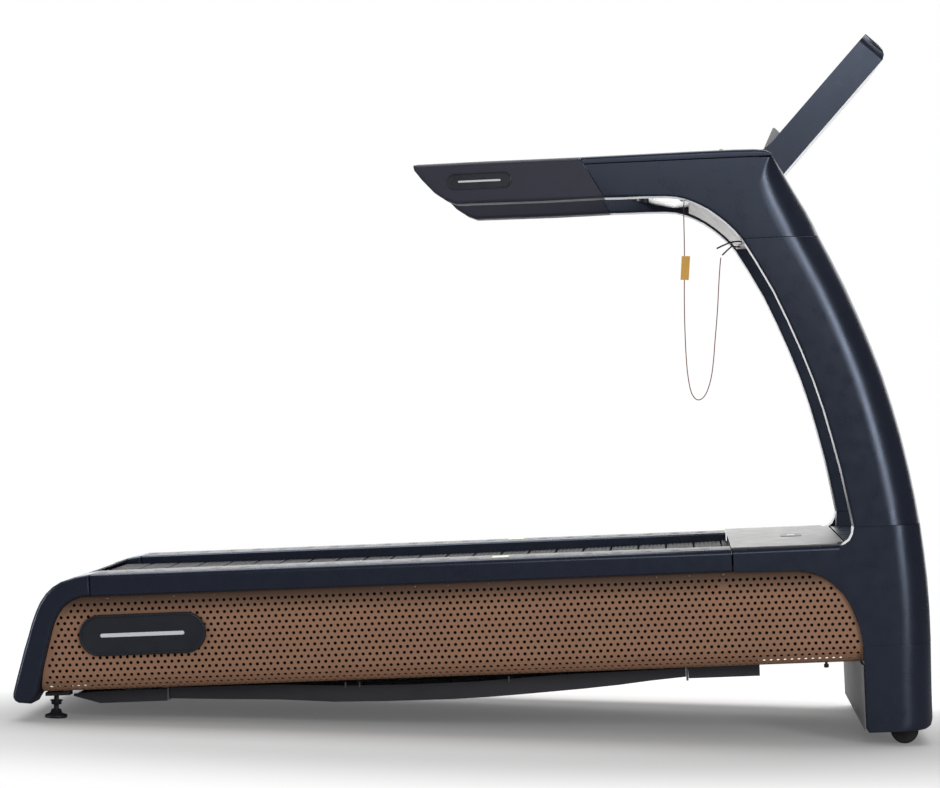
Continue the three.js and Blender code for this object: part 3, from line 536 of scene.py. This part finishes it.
# ---- perforated side panels ----------------------------------------------------------------
# The panel's neighbours as (u, w) points: the rear end cap's edge, and the arch of the leg.
CAP_INNER = [
    (-984.5, 195), (-968, 253), (-962, 274), (-955, 294), (-946, 311), (-935, 326),
    (-920, 338), (-903, 346), (-886, 349.4), (-867.1, 350),
]
ARCH = [
    (619.3, 350), (770, 347), (793, 342), (815, 334.5), (834, 323), (850, 308), (867, 290),
    (880.5, 268), (891, 243), (899, 217), (904, 192), (907, 168.5),
]
PANEL_TOP = 350.4
PANEL_T = 2.5
HOLE_R = 4.0
HOLE_SIDES = 8
HOLE_MARGIN = 3.0
ROW_STEP = 13.77
HOLE_STEP = 15.89
TOP_ROW = 330


def curl_point(u, s, depth, side):
    """Skin point from its unrolled height s: straight down, then curled under at the foot."""
    if s >= PANEL_KNEE:
        return deck(u, side * (PANEL_Y - depth), s)
    a = (PANEL_KNEE - s) / PANEL_CURL
    r = PANEL_CURL - depth
    return deck(u, side * (PANEL_Y - PANEL_CURL + r * math.cos(a)), PANEL_KNEE - r * math.sin(a))


def unrolled(w):
    """Height along the unrolled skin of a point at deck height w."""
    if w >= PANEL_KNEE:
        return w
    return PANEL_KNEE - PANEL_CURL * math.asin(min(1.0, (PANEL_KNEE - w) / PANEL_CURL))


def inside(point, outline):
    x, y = point
    hit = False
    for (x0, y0), (x1, y1) in zip(outline, outline[1:] + outline[:1]):
        if (y0 > y) != (y1 > y) and x < (x1 - x0) * (y - y0) / (y1 - y0) + x0:
            hit = not hit
    return hit


def edge_gap(point, outline):
    x, y = point
    best = 1e9
    for (x0, y0), (x1, y1) in zip(outline, outline[1:] + outline[:1]):
        dx, dy = x1 - x0, y1 - y0
        d2 = dx * dx + dy * dy
        t = max(0.0, min(1.0, ((x - x0) * dx + (y - y0) * dy) / d2)) if d2 else 0.0
        best = min(best, math.hypot(x - x0 - t * dx, y - y0 - t * dy))
    return best


def densify(outline, step):
    out = []
    for (x0, y0), (x1, y1) in zip(outline, outline[1:] + outline[:1]):
        n = max(1, round(math.hypot(x1 - x0, y1 - y0) / step))
        out += [(x0 + (x1 - x0) * i / n, y0 + (y1 - y0) * i / n) for i in range(n)]
    return out


def panel_outline():
    """The panel's border on its unrolled skin, just inside its neighbours' edges."""
    flat = [(-996.4, PANEL_FOOT), (906.2, PANEL_FOOT)]
    flat += [(u - 0.8, w - 0.6) for u, w in reversed(ARCH)]
    flat += [(u + 1.0, w - 0.7) for u, w in reversed(CAP_INNER)]
    return [(u, unrolled(min(w, PANEL_TOP))) for u, w in densify(flat, 9.0)]


def hole_rows():
    """Hole centres row by row, each row half a step along from the last."""
    lowest = PANEL_KNEE - PANEL_CURL * math.pi / 2 + 5
    k = 0
    while True:
        s = TOP_ROW - ROW_STEP * k
        if s < lowest:
            return
        phase = 13.3 if k % 2 == 0 else 5.3
        first = math.ceil((-1000 - phase) / HOLE_STEP)
        for n in range(first, first + 122):
            yield phase + n * HOLE_STEP, s
        k += 1


def perforated_skin():
    """Flat mesh of the panel with its holes: points, faces, and border loops."""
    outline = panel_outline()
    points = [Vector(p) for p in outline]
    edges = [(i, (i + 1) % len(outline)) for i in range(len(outline))]
    loops = [list(range(len(outline)))]
    for u, s in hole_rows():
        if not inside((u, s), outline) or edge_gap((u, s), outline) < HOLE_R + HOLE_MARGIN:
            continue
        if s > 300 and abs(u - 593) < 6:  # a large screw sits here
            continue
        base = len(points)
        for i in range(HOLE_SIDES):
            a = 2 * math.pi * (i + 0.5) / HOLE_SIDES
            points.append(Vector((u + HOLE_R * math.cos(a), s + HOLE_R * math.sin(a))))
        edges += [(base + i, base + (i + 1) % HOLE_SIDES) for i in range(HOLE_SIDES)]
        loops.append([base + i for i in reversed(range(HOLE_SIDES))])
    out, _, faces, _, _, _ = delaunay_2d_cdt(points, edges, [], 1, 1e-4)[:6]
    border = len(outline)

    def hole_of(i):
        return -1 if i < border else (i - border) // HOLE_SIDES

    kept = []
    for face in faces:
        owners = {hole_of(i) for i in face}
        if len(owners) == 1 and -1 not in owners:
            continue
        a, b, c = (out[i] for i in face[:3])
        if (b - a).cross(c - a) < 0:
            face = list(reversed(face))
        kept.append(list(face))
    return out, kept, loops


SKIN = perforated_skin()


def side_panel(name, side):
    points, faces, loops = SKIN
    n = len(points)
    verts = [curl_point(p.x, p.y, 0, side) for p in points]
    verts += [curl_point(p.x, p.y, PANEL_T, side) for p in points]
    all_faces = [f if side < 0 else f[::-1] for f in faces]
    all_faces += [[i + n for i in (f[::-1] if side < 0 else f)] for f in faces]
    for loop in loops:
        for i, j in zip(loop, loop[1:] + loop[:1]):
            all_faces.append([i, i + n, j + n, j])
    panel = new_object(name + "_skin", verts, all_faces, "machine",
                       MAT["copper_panel"], smooth=35)
    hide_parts(name)


# Head radius and places along the deck of the screws in the panel's top strip.
SCREWS = [
    (4.6, [-831, -116, 594]), (3.2, [-753, -675, -192, -39, 441, 517]),
    (2.2, [-853, -580, -213, 55, 418, 689]),
]
SCREW_W = 342.5
SCREW_SUNK = 0.2
SCREW_HEAD = [(0, 0.175), (0.28, 0.16), (0.34, 0.5), (0.7, 0.44), (0.95, 0.2), (1, 0)]


def panel_screws(prefix, side):
    """Pan-head screws in three sizes, each with a driver recess."""
    parts = []
    for r, places in SCREWS:
        for place_u in places:
            def place(x, y, h, u=place_u):
                return deck(u + x, side * (PANEL_Y - SCREW_SUNK + h), SCREW_W + y)
            parts.append(revolve([(x * r, h * r) for x, h in SCREW_HEAD], place, 18))
    v, f = merge(parts)
    new_object(prefix + "_panel_screws", v, f, "machine", ZINC, smooth=50)


for prefix, side in (("left", 1), ("right", -1)):
    side_panel(prefix + "_side_panel", side)
    panel_screws(prefix, side)


# ---- slat belt: grooved rubber slats on two carrier bands ------------------------------------
DRUM_W = 262
REAR_DRUM_U = -872
FRONT_DRUM_U = 600
BELT_R = 120
UPPER_DIP = 6
RETURN_SAG = 42
RUN_STEPS = 60
TURN_STEPS = 29
SLATS = 54
SLAT_REACH = 299.6
SLAT_T = 9
SLAT_HALF_GAP = 2.2
GROOVES = 6
GROOVE_DEPTH = 1.1
BAND_Y = (262, 290)
BAND_DEPTHS = (7.6, 13.0)
MID_U = (REAR_DRUM_U + FRONT_DRUM_U) / 2
HALF_U = (FRONT_DRUM_U - REAR_DRUM_U) / 2


def upper_run(u):
    return DRUM_W + BELT_R - UPPER_DIP * (1 - ((u - MID_U) / HALF_U) ** 2)


def return_run(u):
    return DRUM_W - BELT_R - RETURN_SAG * (1 - ((u - MID_U) / HALF_U) ** 2)


def belt_line(samples):
    """Evenly spaced points on the belt's loop, each with its direction, and the loop's length."""
    forward = [REAR_DRUM_U + 2 * HALF_U * i / RUN_STEPS for i in range(RUN_STEPS)]
    back = [FRONT_DRUM_U - 2 * HALF_U * i / RUN_STEPS for i in range(1, RUN_STEPS)]
    line = [(u, upper_run(u)) for u in forward]
    line += arc(FRONT_DRUM_U, DRUM_W, BELT_R, 90, -84, TURN_STEPS)
    line += [(u, return_run(u)) for u in back]
    line += arc(REAR_DRUM_U, DRUM_W, BELT_R, 270, 96, TURN_STEPS)
    line.append(line[0])
    lengths = [0.0]
    for a, b in zip(line, line[1:]):
        lengths.append(lengths[-1] + math.dist(a, b))
    total, out, k = lengths[-1], [], 0
    for i in range(samples):
        want = total * i / samples
        while lengths[k + 1] < want:
            k += 1
        f = (want - lengths[k]) / (lengths[k + 1] - lengths[k])
        du, dw = line[k + 1][0] - line[k][0], line[k + 1][1] - line[k][1]
        along = math.hypot(du, dw)
        out.append((line[k][0] + du * f, line[k][1] + dw * f, du / along, dw / along))
    return out, total


def slat_profile(half):
    """Slat section: rounded shoulders, shallow grooves along its length, flat underside."""
    top = []
    inner = half - 2.6
    step = 2 * inner / GROOVES
    for g in range(GROOVES):
        x = inner - g * step
        top += [(x, 0), (x - step * 0.62, 0), (x - step * 0.74, -GROOVE_DEPTH),
                (x - step * 0.88, -GROOVE_DEPTH)]
    top.append((-inner, 0))
    corner = [(half, -3.0), (half - 0.35, -1.4), (half - 1.2, -0.45)]
    left = [(-x, y) for x, y in reversed(corner)]
    return [(half, -SLAT_T)] + corner + top + left + [(-half, -SLAT_T)]


def slat_belt():
    line, total = belt_line(SLATS)
    profile = slat_profile(total / SLATS / 2 - SLAT_HALF_GAP)
    parts = []
    for u, w, tu, tw in line:
        outline = [(u + x * tu - y * tw, w + x * tw + y * tu) for x, y in profile]
        parts.append(prism(outline, -SLAT_REACH, SLAT_REACH))
    fine, _ = belt_line(4 * SLATS)
    rings = [[(u + tw * depth, w - tu * depth) for u, w, tu, tw in fine] for depth in BAND_DEPTHS]
    n = len(fine)
    for side in (1, -1):
        y0, y1 = sorted(side * y for y in BAND_Y)
        verts = [deck(u, y, w) for ring in rings for y in (y0, y1) for u, w in ring]
        faces = []
        for i in range(n):
            j = (i + 1) % n
            faces += [[i, j, n + j, n + i], [2 * n + i, 3 * n + i, 3 * n + j, 2 * n + j],
                      [i, 2 * n + i, 2 * n + j, j], [n + i, n + j, 3 * n + j, 3 * n + i]]
        parts.append((verts, faces))
    v, f = merge(parts)
    belt = new_object("slat_belt_treads", v, f, "machine", MAT["slat_rubber"])
    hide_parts("slat_belt")


slat_belt()


# ---- panel shade sheets (painted shade), badges, treads, small fittings ------------------------
SHADE_SHEET_DEPTHS = (9.0, 11.0)


def panel_shade_sheet(prefix, side):
    """Near-black sheet close behind each perforated skin, painted shade for the machine's dark inside seen
    through the holes, cut shorter at both ends of its foot.
    """
    floor_s = unrolled(PANEL_FOOT + 1.0)
    low, mid = floor_s + 2.0, floor_s + 13.0
    trimmed = [(u, max(s, low if -885 < u < 668 else mid)) for u, s in panel_outline()]
    pts = [Vector(p) for p in trimmed]
    extra = [Vector((-980 + 20 * i, low + 8 * j)) for i in range(93) for j in range(1, 9)]
    extra = [e for e in extra if inside(e, trimmed) and edge_gap(e, trimmed) > 5]
    n = len(pts)
    out, _, faces, *_ = delaunay_2d_cdt(pts + extra, [(i, (i + 1) % n) for i in range(n)], [], 1, 1e-4)
    verts = [curl_point(q.x, q.y, depth, side) for depth in SHADE_SHEET_DEPTHS for q in out]
    k = len(out)
    skin = [list(f) for f in faces]
    edges = {edge: None for f in skin for edge in zip(f, f[1:] + f[:1])}
    sides = [[a, b, b + k, a + k] for a, b in edges if (b, a) not in edges]
    new_object(prefix + "_panel_liner", verts, skin + [[i + k for i in reversed(f)] for f in skin] + sides,
               "machine", SHADE_SHEET)


def ringed_pill(cu, cw, length, height, rings, y_base, side):
    """Pill-shaped plate built up from (inset, height) rings, ending in a flat face."""
    loops = []
    for inset, out in rings:
        shape = pill(cu, cw, length - 2 * inset, height - 2 * inset, 20)
        loops.append([deck(u, side * (y_base + out), w) for u, w in shape])
    n = len(loops[0])
    verts = [v for loop in loops for v in loop]
    faces = skin_loops(loops)
    faces += [list(range(n)), [(len(loops) - 1) * n + j for j in reversed(range(n))]]
    return verts, faces


SIDE_BADGE = (-751, 258)
ARM_BADGE = (74, 1269.5)


def badges(prefix, side):
    """Plain badges on the panel and the arm, each with a light stripe in place of any lettering."""
    rim = [(0, 0.4), (0, 5.2), (0.8, 7.0), (2.2, 8.2), (4.0, 8.6), (5.8, 8.2), (7.0, 6.6), (8.0, 6.4)]
    v, f = ringed_pill(*SIDE_BADGE, 297, 96, rim, PANEL_Y, side)
    badge = new_object(prefix + "_badge_plate", v, f, "machine", MAT["badge_plastic"], 25)
    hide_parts(prefix + "_side_badge")
    v, f = ringed_pill(*SIDE_BADGE, 196, 9, [(0, 6.3), (0, 7.0), (0.6, 7.4)], PANEL_Y, side)
    new_object(prefix + "_badge_stripe", v, f, "machine", WHITE_MARK, 25)
    rim = [(0, 0.2), (0, 1.5), (0.5, 2.2), (1.4, 2.6), (2.4, 2.5), (3.2, 1.8)]
    v, f = ringed_pill(*ARM_BADGE, 148, 37, rim, OUTER_Y, side)
    small = new_object(prefix + "_arm_plate", v, f, "machine", MAT["badge_plastic"], 25)
    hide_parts(prefix + "_arm_badge")
    v, f = ringed_pill(*ARM_BADGE, 98, 4.4, [(0, 1.7), (0, 2.1), (0.3, 2.4)], OUTER_Y, side)
    new_object(prefix + "_arm_stripe", v, f, "machine", WHITE_MARK, 25)


PADS = 22
MARKER_PAD = 7
FIRST_PAD_U = 553
PAD_STEP = 66.7
PAD_Y = 398
PAD_SIDES = 24
PAD_LONG, PAD_WIDE = 31, 13
# Each ring of a pad as (share of its full size, height above the insert).
PAD_RINGS = [(1.0, -0.3), (0.96, 0.6), (0.86, 1.35), (0.66, 1.85), (0.38, 2.1)]
PAD_CROWN = 2.15


def grip_pad(cu, top, side):
    """Low oval dome on the foot rail."""
    angles = [2 * math.pi * i / PAD_SIDES for i in range(PAD_SIDES)]
    rings = []
    for grow, h in PAD_RINGS:
        rings.append([deck(cu + PAD_WIDE * grow * math.cos(a),
                           side * (PAD_Y + PAD_LONG * grow * math.sin(a)), top + h) for a in angles])
    verts = [q for ring in rings for q in ring] + [deck(cu, side * PAD_Y, top + PAD_CROWN)]
    crown = len(verts) - 1
    last = crown - PAD_SIDES
    faces = skin_loops(rings)
    faces += [[last + j, last + (j + 1) % PAD_SIDES, crown] for j in range(PAD_SIDES)]
    return verts, faces + [list(range(PAD_SIDES))]


def tread(prefix, side):
    """Foot-rail insert with rounded long edges and a row of grip pads, but none at the marker."""
    u0, u1, y0, y1, low, high = -866.0, 614.3, 331.6, 445.4, 398.2, 400.9
    edge = [(y0, low), (y1, low), (y1, high - 1.2), (y1 - 0.4, high - 0.4), (y1 - 1.2, high),
            (y0 + 1.2, high), (y0 + 0.4, high - 0.4), (y0, high - 1.2)]
    parts = [sweep([deck(u, side * y, w) for u in (u0, u1) for y, w in edge])]
    parts += [grip_pad(FIRST_PAD_U - PAD_STEP * k, high, side) for k in range(PADS) if k != MARKER_PAD]
    v, f = merge(parts)
    piece = new_object(prefix + "_tread_insert", v, f, "machine", MAT["grey_tread"], 40)
    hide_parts(prefix + "_rail_tread")


def rounded(x0, x1, y0, y1, r, steps=5):
    return (arc(x1 - r, y0 + r, r, -90, 0, steps) + arc(x1 - r, y1 - r, r, 0, 90, steps)
            + arc(x0 + r, y1 - r, r, 90, 180, steps) + arc(x0 + r, y0 + r, r, 180, 270, steps))


STUD = [(0, -2), (3.2, -2), (3.2, 3), (5.6, 3), (5.6, 9.5), (4.6, 11.4), (0, 11.4)]


def small_fittings():
    """Blank label on the front deck cover, a stud under each panel, flanges of the belly pans."""
    v, f = deck_block(rounded(742, 792, -52, 52, 5), 404.3, 405.4)
    new_object("deck_label_plate", v, f, "machine", FLANGE, 30)
    v, f = deck_block(rounded(758, 776, -30, 14, 4), 405.3, 405.9)
    new_object("deck_label_mark", v, f, "machine", WHITE_MARK, 30)
    for prefix, side in (("left", 1), ("right", -1)):
        def down(x, y, h, side=side):
            return deck(823.5 + x, side * 400 + y, 128.6 - h)
        v, f = revolve(STUD, down, 16)
        new_object(prefix + "_panel_stud", v, f, "machine", MAT["clip_black"], 40)
    parts = []
    for u in (-713.6, 500.4):
        parts.append(deck_block([(u, -360.6), (u + 5.2, -360.6), (u + 5.2, 360.6), (u, 360.6)], 95, 124))
    for u in (-295, -262, 87):
        parts.append(deck_block([(u, -364), (u + 3, -364), (u + 3, -352), (u, -352)], 108, 121))
    v, f = merge(parts)
    new_object("belly_flanges", v, f, "machine", FLANGE, 30)


for prefix, side in (("left", 1), ("right", -1)):
    panel_shade_sheet(prefix, side)
    badges(prefix, side)
    tread(prefix, side)
small_fittings()


# ---- floor and light -----------------------------------------------------------------------
def floor_material():
    """Pale paper, darker on the camera side with painted shade, that fades to white away from the machine
    and looks darker in its reflections.
    """
    m = bpy.data.materials.new("studio_floor")
    m.use_nodes = True
    nt = m.node_tree
    nodes, links = nt.nodes, nt.links
    nodes.clear()
    out = nodes.new("ShaderNodeOutputMaterial")
    mix = nodes.new("ShaderNodeMixShader")
    paper = nodes.new("ShaderNodeBsdfDiffuse")
    glow = nodes.new("ShaderNodeEmission")
    glow.inputs["Color"].default_value = (1, 1, 1, 1)
    glow.inputs["Strength"].default_value = 1.0
    place = nodes.new("ShaderNodeTexCoord")
    split = nodes.new("ShaderNodeSeparateXYZ")
    # painted shade: the paper darkens from 0.8 behind the machine to 0.5 on the camera side, where its
    # shadow falls
    tone = nodes.new("ShaderNodeMapRange")
    tone.interpolation_type = "SMOOTHSTEP"
    tone.inputs["From Min"].default_value = -0.50
    tone.inputs["From Max"].default_value = 0.45
    tone.inputs["To Min"].default_value = 0.50
    tone.inputs["To Max"].default_value = 0.80
    links.new(place.outputs["Object"], split.inputs["Vector"])
    links.new(split.outputs["Y"], tone.inputs["Value"])
    links.new(tone.outputs["Result"], paper.inputs["Color"])
    dark = nodes.new("ShaderNodeBsdfDiffuse")
    dark.inputs["Color"].default_value = (0.02, 0.02, 0.025, 1)
    dim = nodes.new("ShaderNodeMixShader")
    half = nodes.new("ShaderNodeMath")
    half.operation = "MULTIPLY"
    half.inputs[1].default_value = 0.80
    lift = nodes.new("ShaderNodeEmission")
    lift.inputs["Color"].default_value = (1, 1, 1, 1)
    lift.inputs["Strength"].default_value = 0.10
    soft = nodes.new("ShaderNodeAddShader")
    links.new(paper.outputs["BSDF"], soft.inputs[0])
    links.new(lift.outputs["Emission"], soft.inputs[1])
    where = nodes.new("ShaderNodeTexCoord")
    squeeze = nodes.new("ShaderNodeMapping")
    squeeze.inputs["Scale"].default_value = (1 / 2.2, 1 / 1.45, 0)
    reach = nodes.new("ShaderNodeVectorMath")
    reach.operation = "LENGTH"
    fade = nodes.new("ShaderNodeMapRange")
    fade.interpolation_type = "SMOOTHSTEP"
    fade.inputs["From Min"].default_value = 0.62
    fade.inputs["From Max"].default_value = 1.15
    path = nodes.new("ShaderNodeLightPath")
    both = nodes.new("ShaderNodeMath")
    both.operation = "MULTIPLY"
    links.new(where.outputs["Object"], squeeze.inputs["Vector"])
    links.new(squeeze.outputs["Vector"], reach.inputs[0])
    links.new(reach.outputs["Value"], fade.inputs["Value"])
    links.new(fade.outputs["Result"], both.inputs[0])
    links.new(path.outputs["Is Camera Ray"], both.inputs[1])
    links.new(both.outputs["Value"], mix.inputs["Fac"])
    links.new(path.outputs["Is Glossy Ray"], half.inputs[0])
    links.new(half.outputs["Value"], dim.inputs["Fac"])
    links.new(soft.outputs["Shader"], dim.inputs[1])
    links.new(dark.outputs["BSDF"], dim.inputs[2])
    links.new(dim.outputs["Shader"], mix.inputs[1])
    links.new(glow.outputs["Emission"], mix.inputs[2])
    links.new(mix.outputs["Shader"], out.inputs["Surface"])
    return m


def make_stage():
    """The floor, and a world that is white to the camera but dim as a light and in reflections."""
    mesh = bpy.data.meshes.new("studio_floor")
    mesh.from_pydata([(-40, -40, 0), (40, -40, 0), (40, 40, 0), (-40, 40, 0)], [], [(0, 1, 2, 3)])
    mesh.materials.append(floor_material())
    floor = bpy.data.objects.new("studio_floor", mesh)
    scene.collection.objects.link(floor)

    world = bpy.data.worlds.new("studio")
    scene.world = world
    world.use_nodes = True
    nodes, links = world.node_tree.nodes, world.node_tree.links
    nodes.clear()
    out = nodes.new("ShaderNodeOutputWorld")
    mix = nodes.new("ShaderNodeMixShader")
    seen = nodes.new("ShaderNodeBackground")
    lit = nodes.new("ShaderNodeBackground")
    seen.inputs["Color"].default_value = (1, 1, 1, 1)
    seen.inputs["Strength"].default_value = 1.0
    lit.inputs["Color"].default_value = (1, 1, 1, 1)
    lit.inputs["Strength"].default_value = 0.34
    mirror = nodes.new("ShaderNodeBackground")
    mirror.inputs["Color"].default_value = (1, 1, 1, 1)
    mirror.inputs["Strength"].default_value = 0.06
    shiny = nodes.new("ShaderNodeMixShader")
    path = nodes.new("ShaderNodeLightPath")
    links.new(path.outputs["Is Glossy Ray"], shiny.inputs["Fac"])
    links.new(lit.outputs["Background"], shiny.inputs[1])
    links.new(mirror.outputs["Background"], shiny.inputs[2])
    links.new(path.outputs["Is Camera Ray"], mix.inputs["Fac"])
    links.new(shiny.outputs["Shader"], mix.inputs[1])
    links.new(seen.outputs["Background"], mix.inputs[2])
    links.new(mix.outputs["Shader"], out.inputs["Surface"])
    scene.view_settings.view_transform = "Standard"
    scene.view_settings.look = "None"


def softbox(name, place, aim, width, height, watts):
    data = bpy.data.lights.new(name, "AREA")
    data.shape = "RECTANGLE"
    data.size, data.size_y = width, height
    data.energy = watts
    lamp = bpy.data.objects.new(name, data)
    direction = Vector(aim) - Vector(place)
    lamp.matrix_world = Matrix.Translation(place) @ direction.to_track_quat("-Z", "Y").to_matrix().to_4x4()
    lamp.visible_camera = False
    scene.collection.objects.link(lamp)


make_stage()
softbox("overhead", (0.0, 1.0, 4.0), (0.0, 0.2, 0.0), 6.5, 3.0, 190)
softbox("backdrop", (0.0, 4.2, 1.6), (0.0, 0.0, 0.4), 9.0, 2.8, 150)
softbox("mast_strip", (3.5, -5.2, 2.0), (0.9, -0.4, 0.9), 1.5, 3.0, 105)
softbox("front_high", (1.0, -6.0, 2.8), (0.6, -0.4, 1.2), 2.6, 1.6, 42)
softbox("rear_strip", (-5.0, -2.4, 1.8), (0.3, -0.2, 0.7), 1.0, 3.0, 60)
